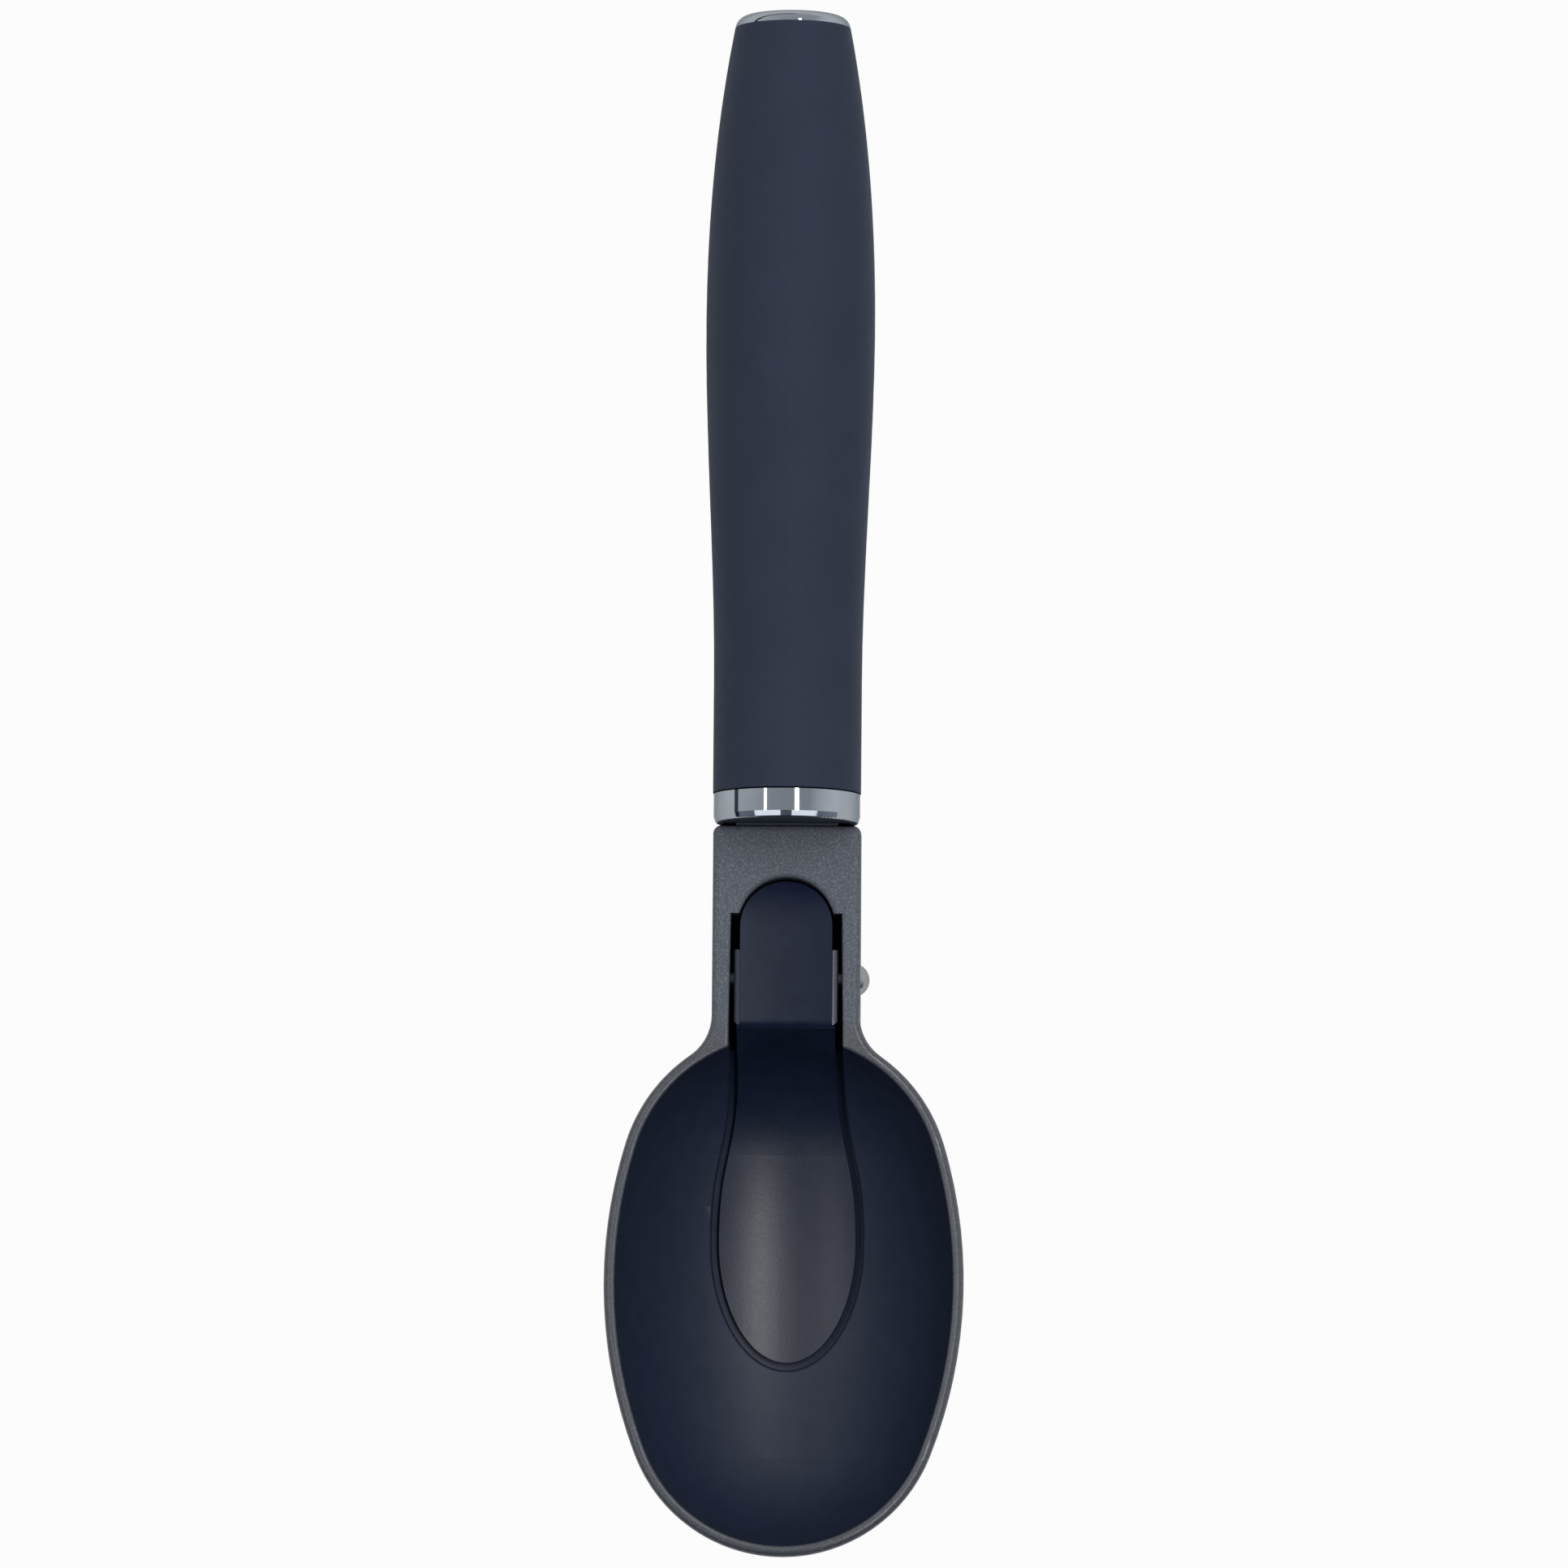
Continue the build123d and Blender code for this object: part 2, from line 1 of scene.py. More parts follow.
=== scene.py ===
import bpy
import json
import math
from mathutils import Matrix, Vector


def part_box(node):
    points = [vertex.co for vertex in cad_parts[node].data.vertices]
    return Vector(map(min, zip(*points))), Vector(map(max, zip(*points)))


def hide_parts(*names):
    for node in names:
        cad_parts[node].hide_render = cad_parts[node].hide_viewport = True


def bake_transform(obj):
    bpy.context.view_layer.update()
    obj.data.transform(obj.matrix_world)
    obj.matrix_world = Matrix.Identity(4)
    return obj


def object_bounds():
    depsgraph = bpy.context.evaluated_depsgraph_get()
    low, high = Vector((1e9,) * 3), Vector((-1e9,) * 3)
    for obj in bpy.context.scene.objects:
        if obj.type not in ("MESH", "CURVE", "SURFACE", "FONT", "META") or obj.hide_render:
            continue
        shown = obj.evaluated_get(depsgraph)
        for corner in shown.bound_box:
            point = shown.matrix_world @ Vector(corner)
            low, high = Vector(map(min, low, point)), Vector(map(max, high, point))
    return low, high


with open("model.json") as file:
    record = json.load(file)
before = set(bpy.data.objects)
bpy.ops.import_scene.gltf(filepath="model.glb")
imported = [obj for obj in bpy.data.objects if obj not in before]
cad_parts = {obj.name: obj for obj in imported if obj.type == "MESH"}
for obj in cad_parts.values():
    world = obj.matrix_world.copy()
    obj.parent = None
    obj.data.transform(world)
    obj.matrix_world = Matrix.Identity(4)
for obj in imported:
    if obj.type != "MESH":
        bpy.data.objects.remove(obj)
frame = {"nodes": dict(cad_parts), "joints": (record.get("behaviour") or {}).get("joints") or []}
cad_low, cad_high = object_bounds()

MM = 0.001


def grey(level):
    """A grey of this level."""
    return (level, level, level)


# How the scoop rests: its handle leans down from the bowl by this angle
REST_LEAN = math.radians(5.93)
TOOL_ALONG = Vector((0, math.cos(REST_LEAN), -math.sin(REST_LEAN)))
TOOL_UP = Vector((0, math.sin(REST_LEAN), math.cos(REST_LEAN)))

# The shoulder, where the neck meets the collar, found from the lever's pivot
PIVOT_BACK = 21.8 * MM
PIVOT_DROP = 6.0 * MM
PIVOT = Vector(frame["joints"][0]["pos_m"])
SHOULDER = PIVOT + TOOL_ALONG * PIVOT_BACK + TOOL_UP * PIVOT_DROP

# Places on the casting, from the shoulder
NECK_LENGTH = 28.6 * MM
BOWL_LENGTH = 75.6 * MM
RIM_DROP = 2.0 * MM
RIM_EDGE = 0.4 * MM
CAVITY_DROP = 0.5 * MM
CHANNEL_HALF_WIDTH = 8.2 * MM
CHANNEL_DEPTH = 7.6 * MM
CHANNEL_LENGTH = 34 * MM
POCKET_LENGTH = 16 * MM
BOWL_ROOT = SHOULDER - TOOL_ALONG * NECK_LENGTH
BOWL_MIDDLE = BOWL_ROOT - TOOL_ALONG * BOWL_LENGTH / 2 - TOOL_UP * CAVITY_DROP

# Which way a face of the casting is turned, as a cosine: inside the bowl it is less than the first out from
# the middle, on the wall at the pocket's end it is less than the second along the tool, and on the
# channel's floor it is more than the third upward
INSIDE_TURN = 0.1
WALL_TURN = -0.3
FLOOR_TURN = 0.9

# Places on the lever, from its pivot, and how far a face of a fold is turned aside
PLATE_FROM = -7.0 * MM
EARS_TO = 3.9 * MM
PLATE_RISE = 4.5 * MM
FOLD_DROP = 1.0 * MM
FOLD_TURN = 0.12

# Thumb plate: half its width, and how far its middle is dished
PLATE_HALF_WIDTH = 6.5 * MM
PLATE_DISH = 0.25 * MM

# Neck's half width, inside which the pin is a bare shank, darkened as painted shade
NECK_HALF_WIDTH = 10.5 * MM

# Paint: its flakes and their colours, and how it is on the neck
FLAKE_SIZE = 0.3 * MM
FLAKE_DARK = (0.078, 0.087, 0.104)
FLAKE_MIDDLE = (0.107, 0.118, 0.139)
FLAKE_BRIGHT = (0.17, 0.182, 0.205)
FLAKE_STOPS = [(0.35, FLAKE_DARK), (0.55, FLAKE_MIDDLE), (0.72, FLAKE_BRIGHT)]
PAINT_PATCH = 1.2 * MM
PAINT_ROUGH = (0.4, 0.5)
PAINT_TOOTH = 0.015 * MM
NECK_GLOSS = 0.15

# Paint on the bowl: how much darker as painted shade, smoother and glossier than on the neck, and over what
# length it changes
BOWL_PAINTED_SHADE = 0.5
BOWL_POLISH = 0.14
BOWL_GLOSS = 0.6
PAINT_BLEND = 6 * MM

# Dark satin materials, painted shade and a painted highlight among them: the size of their mottle and grain,
# how much the roughness varies, and the depth of the tooth
COATING_PATCH = 2.5 * MM
COATING_GRAIN = 0.4 * MM
COATING_VARIES = 0.05
COATING_TOOTH = 0.01 * MM
COATING_STRENGTH = 0.25
TONGUE_TOOTH = 0.05 * MM
PLATE_LOW = (0.004, 0.008, 0.025)
PLATE_HIGH = (0.006, 0.011, 0.030)
# Painted highlight: lighter colours for the fold of the right ear, which faces the stronger light
FOLD_HIGHLIGHT_LOW = (0.022, 0.024, 0.030)
FOLD_HIGHLIGHT_HIGH = (0.032, 0.034, 0.041)
# Darker inside the bowl; the same colours are painted shade in the lever's channel and on the hidden tang
BOWL_LOW = (0.010, 0.016, 0.037)
BOWL_HIGH = (0.013, 0.019, 0.042)
# Painted shade: near-black colours for the channel's floor, where shade falls
CHANNEL_SHADE_LOW = (0.002, 0.003, 0.008)
CHANNEL_SHADE_HIGH = (0.003, 0.005, 0.011)

# Rubber
RUBBER_STOPS = [(0.3, (0.0205, 0.028, 0.049)), (0.7, (0.0245, 0.032, 0.055))]
RUBBER_PATCH = 9 * MM
RUBBER_GRAIN = 0.6 * MM
RUBBER_ROUGH = (0.66, 0.8)
RUBBER_GLOSS = 0.2
RUBBER_SHEEN = 0.07
SHEEN_TINT = (0.7, 0.82, 1.0)
SHEEN_ROUGHNESS = 0.5
RUBBER_TOOTH_SIZE = 0.22 * MM
RUBBER_TOOTH = 0.012 * MM
TOOTH_STRENGTH = 0.3

# Plastic
PLASTIC_LOW = (0.010, 0.015, 0.028)
PLASTIC_HIGH = (0.014, 0.020, 0.034)
PLASTIC_PATCH = 1.5 * MM
PLASTIC_GRAIN = 0.5 * MM
PLASTIC_ROUGH = (0.45, 0.6)

# Metals: colour face on and at a glancing angle, the share of it in the darker patches, and how much finer
# the changes of polish are than those patches
CHROME = (0.335, 0.365, 0.40)
CHROME_EDGE = (0.45, 0.48, 0.51)
STEEL = (0.31, 0.31, 0.32)
STEEL_EDGE = (0.6, 0.6, 0.62)
# Painted shade: a darker steel for the pin's shank inside the neck
SHANK_SHADE_STEEL = (0.08, 0.085, 0.095)
SHANK_SHADE_EDGE = (0.3, 0.3, 0.32)
CHROME_PATCH = 4 * MM
STEEL_PATCH = 1.5 * MM
DARKER_SHARE = 0.94
POLISH_FINER = 3

# Where in the noise a mottle goes from its low to its high colour
MOTTLE_FROM = 0.35
MOTTLE_TO = 0.65

# Floor: its greys and its half width, the drop that keeps it clear of the foot, and how much of it is white
FLOOR_STOPS = [(0.3, grey(0.15)), (0.7, grey(0.17))]
FLOOR_PATCH = 0.3
FLOOR_ROUGHNESS = 0.9
FLOOR_HALF = 6.0
FLOOR_DROP = 0.05 * MM
WHITE_SHARE = 0.97

# Two long lamps overhead, either side of the camera, by their angle from straight up
LAMP_HEIGHT = 2.2
STRIP_MIDDLE = 0.55
STRIP_LENGTH = 2.6
STRIP_WIDTH = 0.24
LEFT_ANGLE = math.radians(-33)
LEFT_RADIANCE = 4.5
RIGHT_ANGLE = math.radians(17)
RIGHT_RADIANCE = 14.5

# Two lamps across, further towards the bowl's end, with a gap between them and their outer ends turned away
BAR_ASIDE = 1.59
BAR_AWAY = -1.235
BAR_TURN = math.radians(10.3)
BAR_LENGTH = 2.52
BAR_WIDTH = 0.2
BAR_RADIANCE = 1.8

# Where the outermost points of the two ends are: a share of the way up the cap, and a drop from the rim's top
CAP_POINT = 0.75
TIP_DROP = 1.5 * MM

# The photograph's frame, and the scoop's two ends in it, in its own pixels
PHOTO_SIZE = 1932
TOP_PX = (975, 13)
BOTTOM_PX = (964.5, 1919)
CAMERA_HEIGHT = 1.8
CAMERA_ASIDE = math.radians(1.4)
CAMERA_REACH = 20

# Colours of the surroundings: by height, added at the right, then shares of them from left to right and
# from the bowl's end to the cap's
DARK_GREY = (0.07, 0.077, 0.1)
LIGHT_GREY = (0.70, 0.714, 0.742)
BLACK = (0, 0, 0)
NIGHT_BLUE = (0.055, 0.08, 0.13)
DUSK_BLUE = (0.09, 0.12, 0.18)
PALE_BLUE = (0.42, 0.46, 0.54)
HEIGHT_STOPS = [(0.0, DARK_GREY), (0.12, DARK_GREY), (0.15, LIGHT_GREY)]
RIGHT_STOPS = [(0.5, BLACK), (0.55, LIGHT_GREY)]
SIDE_STOPS = [(0.0, grey(1.1)), (0.3, grey(0.75)), (0.5, grey(0.7)), (0.8, grey(0.72)), (1.0, grey(1.4))]
LENGTH_STOPS = [(0.0, NIGHT_BLUE), (0.2, DUSK_BLUE), (0.32, PALE_BLUE), (0.5, grey(1)), (1.0, grey(1.35))]


def new_material(name):
    """An empty node material with its output and a Principled shader."""
    material = bpy.data.materials.new(name)
    material.use_nodes = True
    tree = material.node_tree
    tree.nodes.clear()
    output = tree.nodes.new("ShaderNodeOutputMaterial")
    shader = tree.nodes.new("ShaderNodeBsdfPrincipled")
    tree.links.new(shader.outputs["BSDF"], output.inputs["Surface"])
    return material, tree, shader


def coordinate(tree, kind, axis):
    """One axis of a texture coordinate."""
    place = tree.nodes.new("ShaderNodeTexCoord")
    split = tree.nodes.new("ShaderNodeSeparateXYZ")
    tree.links.new(place.outputs[kind], split.inputs["Vector"])
    return split.outputs[axis]


def grain(tree, size, detail=2):
    """Noise that stays on the object, with features of about this size in metres."""
    place = tree.nodes.new("ShaderNodeTexCoord")
    noise = tree.nodes.new("ShaderNodeTexNoise")
    noise.inputs["Scale"].default_value = 1 / size
    noise.inputs["Detail"].default_value = detail
    tree.links.new(place.outputs["Object"], noise.inputs["Vector"])
    return noise.outputs["Fac"]


def ramp(tree, value, stops):
    """Colours or greys along a value, as (position, colour) stops."""
    node = tree.nodes.new("ShaderNodeValToRGB")
    while len(node.color_ramp.elements) < len(stops):
        node.color_ramp.elements.new(0.5)
    for element, (position, colour) in zip(node.color_ramp.elements, stops):
        element.position = position
        element.color = (*colour, 1)
    tree.links.new(value, node.inputs["Fac"])
    return node.outputs["Color"]


def mottle(tree, value, low, high):
    """A noise value as a colour between low and high."""
    return ramp(tree, value, [(MOTTLE_FROM, low), (MOTTLE_TO, high)])


def stretch(tree, value, start, end, low, high):
    """A value that goes from low to high while another goes from start to end."""
    node = tree.nodes.new("ShaderNodeMapRange")
    node.inputs["From Min"].default_value = start
    node.inputs["From Max"].default_value = end
    node.inputs["To Min"].default_value = low
    node.inputs["To Max"].default_value = high
    tree.links.new(value, node.inputs["Value"])
    return node.outputs["Result"]


def spread(tree, value, low, high):
    """A value of 0 to 1 stretched to low to high."""
    return stretch(tree, value, 0, 1, low, high)


def combine(tree, kind, operation, first, second):
    """Two values, or two colours, put together by a node of this kind."""
    node = tree.nodes.new(kind)
    node.operation = operation
    tree.links.new(first, node.inputs[0])
    tree.links.new(second, node.inputs[1])
    return node.outputs[0]


def scaled(tree, value, factor):
    """A value times a number."""
    node = tree.nodes.new("ShaderNodeMath")
    node.operation = "MULTIPLY"
    node.inputs[1].default_value = factor
    tree.links.new(value, node.inputs[0])
    return node.outputs["Value"]


def bump(tree, target, value, height, strength):
    """Lets a value raise the surface by up to a height in metres, for a shader or under another bump."""
    node = tree.nodes.new("ShaderNodeBump")
    node.inputs["Strength"].default_value = strength
    node.inputs["Distance"].default_value = height
    tree.links.new(value, node.inputs["Height"])
    tree.links.new(node.outputs["Normal"], target.inputs["Normal"])
    return node


def gunmetal_paint():
    """Dark grey paint with fine bright flakes, glossier on the bowl than on the neck and darker there as
    painted shade.
    """
    material, tree, shader = new_material("gunmetal_paint")
    neck_end = BOWL_ROOT.y + PAINT_BLEND / 2
    bowl_end = BOWL_ROOT.y - PAINT_BLEND / 2
    on_bowl = stretch(tree, coordinate(tree, "Object", "Y"), neck_end, bowl_end, 0, 1)
    flakes = ramp(tree, grain(tree, FLAKE_SIZE, detail=3), FLAKE_STOPS)
    # Painted shade: the flakes are darkened on the bowl
    shade = ramp(tree, on_bowl, [(0.0, grey(1)), (1.0, grey(BOWL_PAINTED_SHADE))])
    colour = combine(tree, "ShaderNodeVectorMath", "MULTIPLY", flakes, shade)
    tree.links.new(colour, shader.inputs["Base Color"])
    neck_rough = spread(tree, grain(tree, PAINT_PATCH), *PAINT_ROUGH)
    polish = spread(tree, on_bowl, 0, BOWL_POLISH)
    rough = combine(tree, "ShaderNodeMath", "SUBTRACT", neck_rough, polish)
    tree.links.new(rough, shader.inputs["Roughness"])
    tree.links.new(spread(tree, on_bowl, NECK_GLOSS, BOWL_GLOSS), shader.inputs["Specular IOR Level"])
    bump(tree, shader, grain(tree, FLAKE_SIZE, detail=3), PAINT_TOOTH, TOOTH_STRENGTH)
    return material


def dark_satin(name, low, high, roughness, gloss, tooth=COATING_TOOTH, dish_depth=0):
    """Satin dark coating with a faint mottle, on a surface that may be dished across the tool; it also makes
    the painted shade in the channel and the painted highlight on the right ear's fold.
    """
    material, tree, shader = new_material(name)
    shader.inputs["Specular IOR Level"].default_value = gloss
    colour = mottle(tree, grain(tree, COATING_PATCH, detail=3), low, high)
    tree.links.new(colour, shader.inputs["Base Color"])
    smoothest = roughness - COATING_VARIES
    roughest = roughness + COATING_VARIES
    rough = spread(tree, grain(tree, COATING_GRAIN), smoothest, roughest)
    tree.links.new(rough, shader.inputs["Roughness"])
    fine = bump(tree, shader, grain(tree, COATING_GRAIN), tooth, COATING_STRENGTH)
    if dish_depth:
        across = scaled(tree, coordinate(tree, "Object", "X"), 1 / PLATE_HALF_WIDTH)
        square = combine(tree, "ShaderNodeMath", "MULTIPLY", across, across)
        bump(tree, fine, square, dish_depth, 1.0)
    return material


def soft_rubber():
    """Matt soft-touch rubber with a very fine tooth."""
    material, tree, shader = new_material("soft_rubber")
    colour = ramp(tree, grain(tree, RUBBER_PATCH, detail=4), RUBBER_STOPS)
    tree.links.new(colour, shader.inputs["Base Color"])
    rough = spread(tree, grain(tree, RUBBER_GRAIN), *RUBBER_ROUGH)
    tree.links.new(rough, shader.inputs["Roughness"])
    shader.inputs["Specular IOR Level"].default_value = RUBBER_GLOSS
    shader.inputs["Sheen Weight"].default_value = RUBBER_SHEEN
    shader.inputs["Sheen Tint"].default_value = (*SHEEN_TINT, 1)
    shader.inputs["Sheen Roughness"].default_value = SHEEN_ROUGHNESS
    bump(tree, shader, grain(tree, RUBBER_TOOTH_SIZE), RUBBER_TOOTH, TOOTH_STRENGTH)
    return material


def bright_metal(name, colour, edge, roughness, varies, patch):
    """Bare or plated metal whose polish varies a little, with its own tint at a glancing angle."""
    material, tree, shader = new_material(name)
    darker = [channel * DARKER_SHARE for channel in colour]
    tree.links.new(mottle(tree, grain(tree, patch), darker, colour), shader.inputs["Base Color"])
    rough = spread(tree, grain(tree, patch / POLISH_FINER), roughness - varies, roughness + varies)
    tree.links.new(rough, shader.inputs["Roughness"])
    shader.inputs["Metallic"].default_value = 1.0
    shader.inputs["Specular Tint"].default_value = (*edge, 1)
    return material


def dark_plastic():
    """Moulded dark plastic."""
    material, tree, shader = new_material("core_plastic")
    colour = mottle(tree, grain(tree, PLASTIC_PATCH), PLASTIC_LOW, PLASTIC_HIGH)
    tree.links.new(colour, shader.inputs["Base Color"])
    rough = spread(tree, grain(tree, PLASTIC_GRAIN), *PLASTIC_ROUGH)
    tree.links.new(rough, shader.inputs["Roughness"])
    return material


def whitened_floor():
    """Grey floor that reads as white while it keeps the shadow."""
    material, tree, shader = new_material("whitened_floor")
    colour = ramp(tree, grain(tree, FLOOR_PATCH), FLOOR_STOPS)
    tree.links.new(colour, shader.inputs["Base Color"])
    shader.inputs["Roughness"].default_value = FLOOR_ROUGHNESS
    shader.inputs["Specular IOR Level"].default_value = 0.0
    path = tree.nodes.new("ShaderNodeLightPath")
    seen = path.outputs["Is Camera Ray"]
    for kind in ("Is Glossy Ray", "Is Transmission Ray"):
        seen = combine(tree, "ShaderNodeMath", "MAXIMUM", seen, path.outputs[kind])
    white = tree.nodes.new("ShaderNodeEmission")
    mix = tree.nodes.new("ShaderNodeMixShader")
    tree.links.new(scaled(tree, seen, WHITE_SHARE), mix.inputs["Fac"])
    tree.links.new(shader.outputs["BSDF"], mix.inputs[1])
    tree.links.new(white.outputs["Emission"], mix.inputs[2])
    tree.links.new(mix.outputs["Shader"], tree.nodes["Material Output"].inputs["Surface"])
    return material


def dress(name, *materials):
    """Puts materials on a CAD node, the first one on all of it."""
    mesh = frame["nodes"][name].data
    mesh.materials.clear()
    for material in materials:
        mesh.materials.append(material)
    for polygon in mesh.polygons:
        polygon.material_index = 0
    return mesh


def repaint(mesh, material, belongs):
    """Gives the faces that belong, by their centre and normal, another of the mesh's materials."""
    index = mesh.materials.find(material.name)
    for polygon in mesh.polygons:
        if belongs(polygon.center, polygon.normal):
            polygon.material_index = index


def on_tool(place, origin):
    """How far a place is along the tool and up from it, from an origin."""
    return (place - origin).dot(TOOL_ALONG), (place - origin).dot(TOOL_UP)


def is_dark_or_shaded(place, normal):
    """Whether a face of the casting is inside the bowl, where it is darker, or in the lever's channel or on
    the hidden tang, where the same dark colour is painted shade.
    """
    along, up = on_tool(place, SHOULDER)
    # Painted shade on the hidden tang, seen through the gap at the collar
    if along > 0:
        return True
    if up > -RIM_DROP - RIM_EDGE:
        return False
    # Painted shade in the lever's channel, apart from the pocket's end wall
    if along > -NECK_LENGTH:
        in_channel = abs(place.x) < CHANNEL_HALF_WIDTH and up > -RIM_DROP - CHANNEL_DEPTH
        return in_channel and (along < -POCKET_LENGTH or normal.dot(TOOL_ALONG) > WALL_TURN)
    return normal.dot((place - BOWL_MIDDLE).normalized()) < INSIDE_TURN


def is_channel_floor(place, normal):
    """Whether a face of the casting is on the floor of the lever's channel."""
    along, up = on_tool(place, SHOULDER)
    is_deep = abs(place.x) < CHANNEL_HALF_WIDTH and up < -RIM_DROP - CHANNEL_DEPTH + RIM_EDGE
    return is_deep and -CHANNEL_LENGTH < along < 0 and normal.dot(TOOL_UP) > FLOOR_TURN


def is_fold(place):
    """Whether a place on the lever is along the fold of one of its ears."""
    along, up = on_tool(place, PIVOT)
    return PLATE_FROM < along < EARS_TO and up > PLATE_RISE - FOLD_DROP


def is_plate(place, normal):
    """Whether a face of the lever is on its plate, ears or tab, apart from the fold of the left ear."""
    along, up = on_tool(place, PIVOT)
    return along > PLATE_FROM and not (is_fold(place) and normal.x < -FOLD_TURN)


def is_lit_fold(place, normal):
    """Whether a face of the lever is on the fold of its right ear, which is painted lighter as a painted
    highlight.
    """
    return is_fold(place) and normal.x > FOLD_TURN


def is_shank(place, normal):
    """Whether a face of the pin is inside the neck."""
    return abs(place.x) < NECK_HALF_WIDTH


def soft_lamp(name, x, y, width, length, radiance, turn=0):
    """A flat soft lamp overhead that shines straight down, turned about its middle."""
    lamp = bpy.data.lights.new(name, "AREA")
    lamp.shape = "RECTANGLE"
    lamp.size = width
    lamp.size_y = length
    lamp.energy = radiance * math.pi * width * length
    box = bpy.data.objects.new(name, lamp)
    box.location = (x, y, LAMP_HEIGHT)
    box.rotation_euler = (0, 0, turn)
    bpy.context.scene.collection.objects.link(box)


# Materials on the CAD nodes
steel = bright_metal("plain_steel", STEEL, STEEL_EDGE, roughness=0.18, varies=0.06, patch=STEEL_PATCH)
# Painted shade: the pin's shank inside the neck, as darker steel
shank_painted_shade = bright_metal("shank_painted_shade", SHANK_SHADE_STEEL, SHANK_SHADE_EDGE, roughness=0.35, varies=0.06, patch=STEEL_PATCH)
chrome = bright_metal("chrome_plate", CHROME, CHROME_EDGE, roughness=0.05, varies=0.02, patch=CHROME_PATCH)
# Darker inside the bowl, and painted shade in the lever's channel and on the tang
dark_bowl_and_shade = dark_satin("dark_bowl_and_shade", BOWL_LOW, BOWL_HIGH, roughness=0.5, gloss=0.4)
# Painted shade: a near-black matt material for the channel's floor
channel_painted_shade = dark_satin("channel_painted_shade", CHANNEL_SHADE_LOW, CHANNEL_SHADE_HIGH, roughness=0.7, gloss=0.05)
# Painted highlight on the fold of the right ear
fold_painted_highlight = dark_satin("fold_painted_highlight", FOLD_HIGHLIGHT_LOW, FOLD_HIGHLIGHT_HIGH, roughness=0.35, gloss=0.8)
lever_coating = dark_satin(
    "lever_coating", PLATE_LOW, PLATE_HIGH, roughness=0.4, gloss=0.2, dish_depth=PLATE_DISH
)
tongue_coating = dark_satin(
    "tongue_coating", PLATE_LOW, PLATE_HIGH, roughness=0.4, gloss=0.6, tooth=TONGUE_TOOTH
)
casting = dress("scoop_body", gunmetal_paint(), dark_bowl_and_shade, channel_painted_shade)
# Darker inside the bowl, painted shade in the channel and on the tang
repaint(casting, dark_bowl_and_shade, is_dark_or_shaded)
# Painted shade on the channel's floor
repaint(casting, channel_painted_shade, is_channel_floor)
lever = dress("ejector_lever", tongue_coating, lever_coating, fold_painted_highlight)
repaint(lever, lever_coating, is_plate)
# Painted highlight: the right ear's fold
repaint(lever, fold_painted_highlight, is_lit_fold)
pin = dress("pivot_pin", steel, shank_painted_shade)
# Painted shade on the pin's shank
repaint(pin, shank_painted_shade, is_shank)
spring = dress("return_spring", steel)
dress("tang_pins", steel)
dress("collar", chrome)
dress("end_cap", chrome)
dress("handle_core", dark_plastic())
dress("grip_sleeve", soft_rubber())

# The spring as a wire object of its own, a copy in place of the CAD node, which is hidden
wire = bpy.data.objects.new("return_spring_wire", spring.copy())
bpy.context.scene.collection.objects.link(wire)
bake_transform(wire)
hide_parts("return_spring")

# Floor
floor_mesh = bpy.data.meshes.new("floor")
sides = [(-1, -1), (1, -1), (1, 1), (-1, 1)]
corners = [(x * FLOOR_HALF, y * FLOOR_HALF, -FLOOR_DROP) for x, y in sides]
floor_mesh.from_pydata(corners, [], [range(len(corners))])
floor_mesh.materials.append(whitened_floor())
floor = bpy.data.objects.new("floor", floor_mesh)
bpy.context.scene.collection.objects.link(floor)

# Lamps
left_x = LAMP_HEIGHT * math.tan(LEFT_ANGLE)
right_x = LAMP_HEIGHT * math.tan(RIGHT_ANGLE)
soft_lamp("lamp_left", left_x, STRIP_MIDDLE, STRIP_WIDTH, STRIP_LENGTH, LEFT_RADIANCE)
soft_lamp("lamp_right", right_x, STRIP_MIDDLE, STRIP_WIDTH, STRIP_LENGTH, RIGHT_RADIANCE)
soft_lamp("lamp_bar_left", -BAR_ASIDE, BAR_AWAY, BAR_LENGTH, BAR_WIDTH, BAR_RADIANCE, turn=BAR_TURN)
soft_lamp("lamp_bar_right", BAR_ASIDE, BAR_AWAY, BAR_LENGTH, BAR_WIDTH, BAR_RADIANCE, turn=-BAR_TURN)

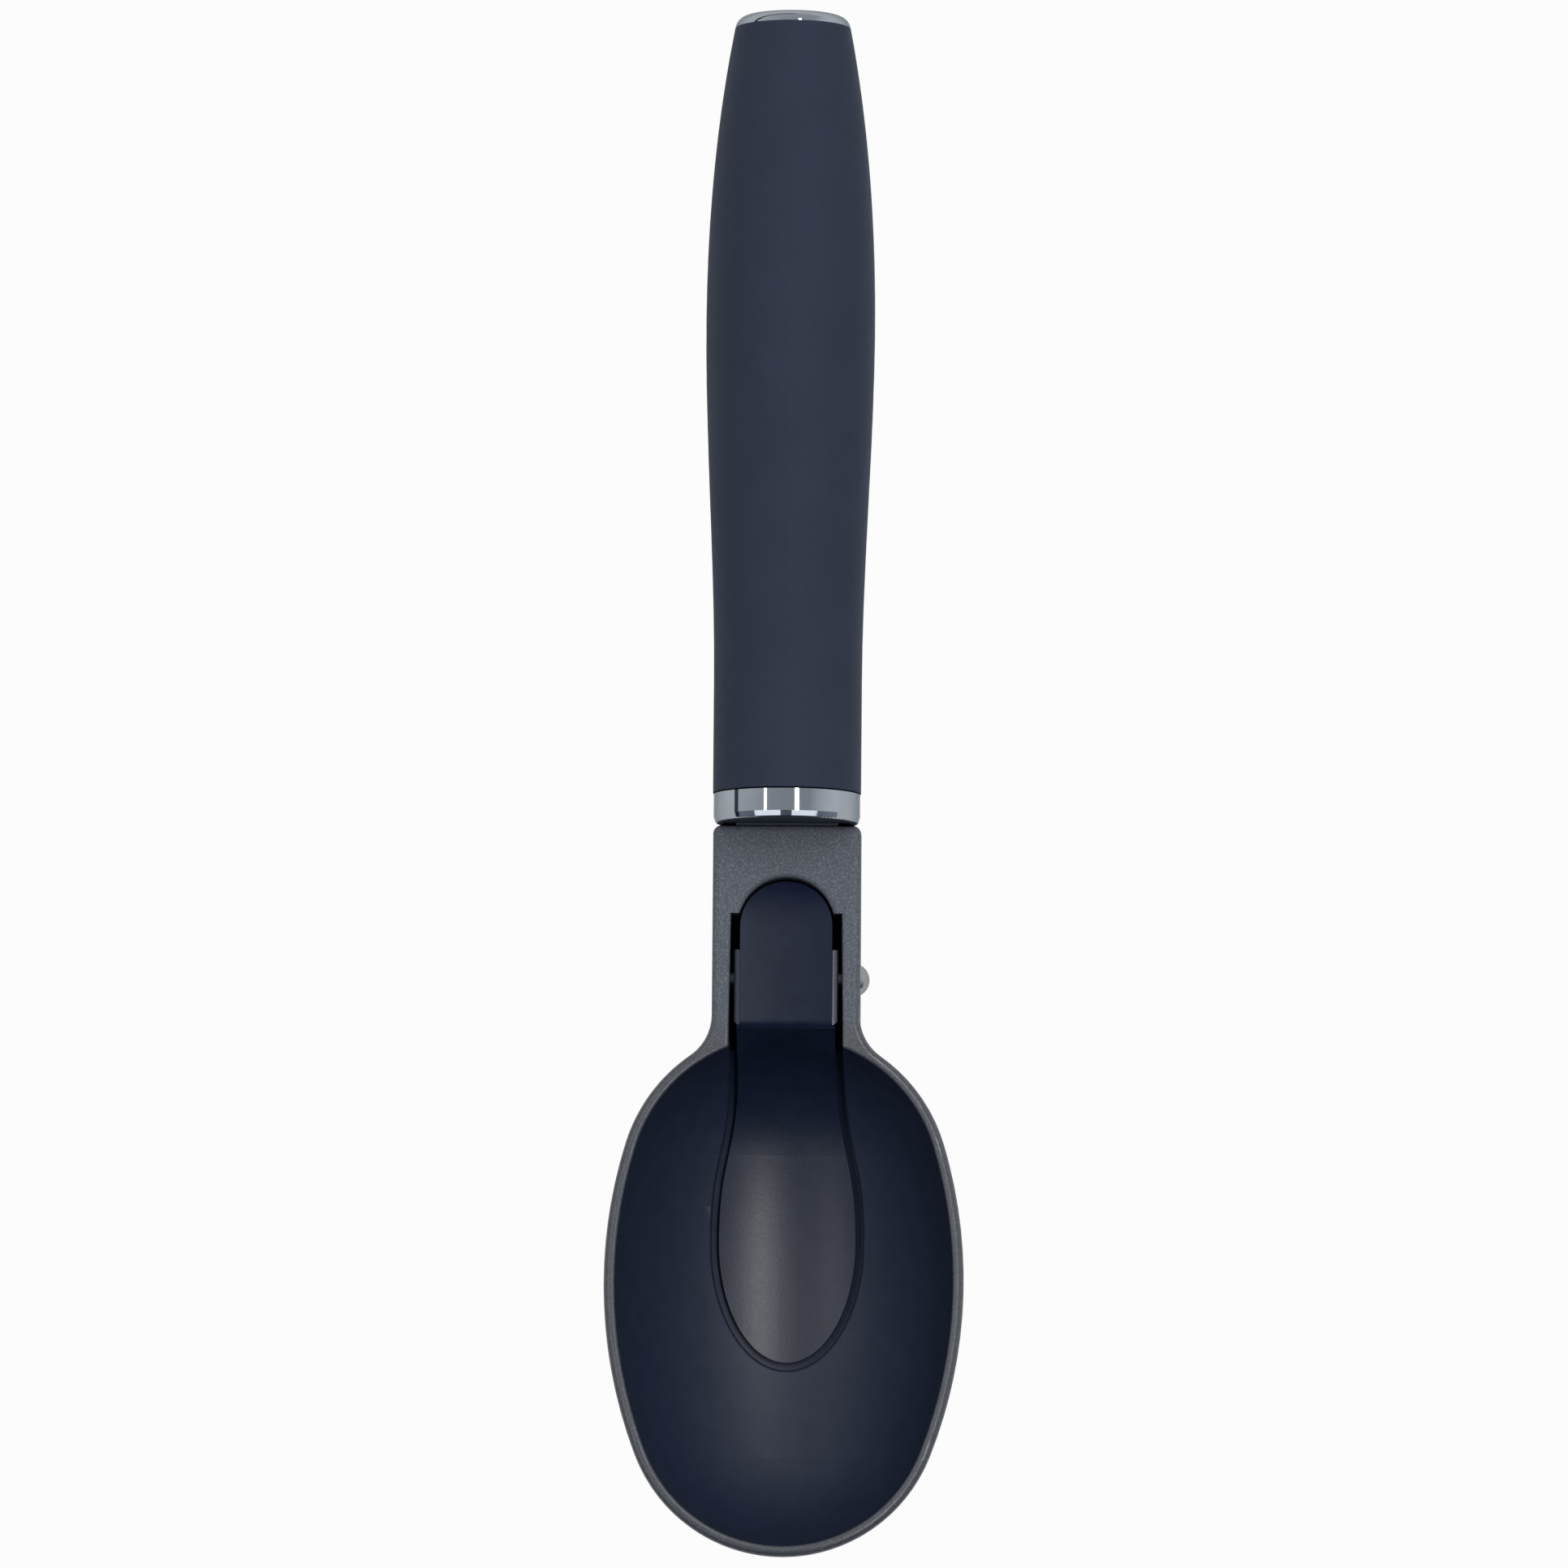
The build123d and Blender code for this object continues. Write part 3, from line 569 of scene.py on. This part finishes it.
# Surroundings: grey, lighter to the right, dark beyond the bowl, with a dark line at the left horizon
world = bpy.data.worlds.new("studio")
bpy.context.scene.world = world
world.use_nodes = True
sky = world.node_tree
from_left = stretch(sky, coordinate(sky, "Generated", "X"), -1, 1, 0, 1)
from_bowl = stretch(sky, coordinate(sky, "Generated", "Y"), -1, 1, 0, 1)
by_height = ramp(sky, coordinate(sky, "Generated", "Z"), HEIGHT_STOPS)
at_right = ramp(sky, from_left, RIGHT_STOPS)
by_side = ramp(sky, from_left, SIDE_STOPS)
by_length = ramp(sky, from_bowl, LENGTH_STOPS)
sky_colour = combine(sky, "ShaderNodeVectorMath", "MAXIMUM", by_height, at_right)
for share in (by_side, by_length):
    sky_colour = combine(sky, "ShaderNodeVectorMath", "MULTIPLY", sky_colour, share)
sky.links.new(sky_colour, sky.nodes["Background"].inputs["Color"])

# Camera above, a little to the right, turned as the photograph is, so that both ends fall on their pixels
cap_low, cap_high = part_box("end_cap")
top_depth = CAMERA_HEIGHT - (cap_low.z + CAP_POINT * (cap_high.z - cap_low.z))
bottom_depth = CAMERA_HEIGHT - (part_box("scoop_body")[1].z - TIP_DROP)
mean_depth = (top_depth + bottom_depth) / 2
top_rows = PHOTO_SIZE / 2 - TOP_PX[1]
bottom_rows = BOTTOM_PX[1] - PHOTO_SIZE / 2
focal_px = (top_rows * top_depth + bottom_rows * bottom_depth) / (cad_high.y - cad_low.y)
aim_y = cad_high.y - top_rows * top_depth / focal_px
middle_px = (TOP_PX[0] + BOTTOM_PX[0]) / 2
aim_x = (PHOTO_SIZE / 2 - middle_px) * mean_depth / focal_px
roll = math.atan2(TOP_PX[0] - BOTTOM_PX[0], BOTTOM_PX[1] - TOP_PX[1])
aside = mean_depth * math.tan(CAMERA_ASIDE)
camera_data = bpy.data.cameras.new("camera")
camera_data.lens = camera_data.sensor_width * focal_px / PHOTO_SIZE
camera_data.clip_end = CAMERA_REACH
camera = bpy.data.objects.new("camera", camera_data)
camera.location = (aim_x + aside * math.cos(roll), aim_y + aside * math.sin(roll), CAMERA_HEIGHT)
camera.rotation_euler = (0, CAMERA_ASIDE, roll)
bpy.context.scene.collection.objects.link(camera)
bpy.context.scene.camera = camera

bpy.context.scene.view_settings.view_transform = "Standard"
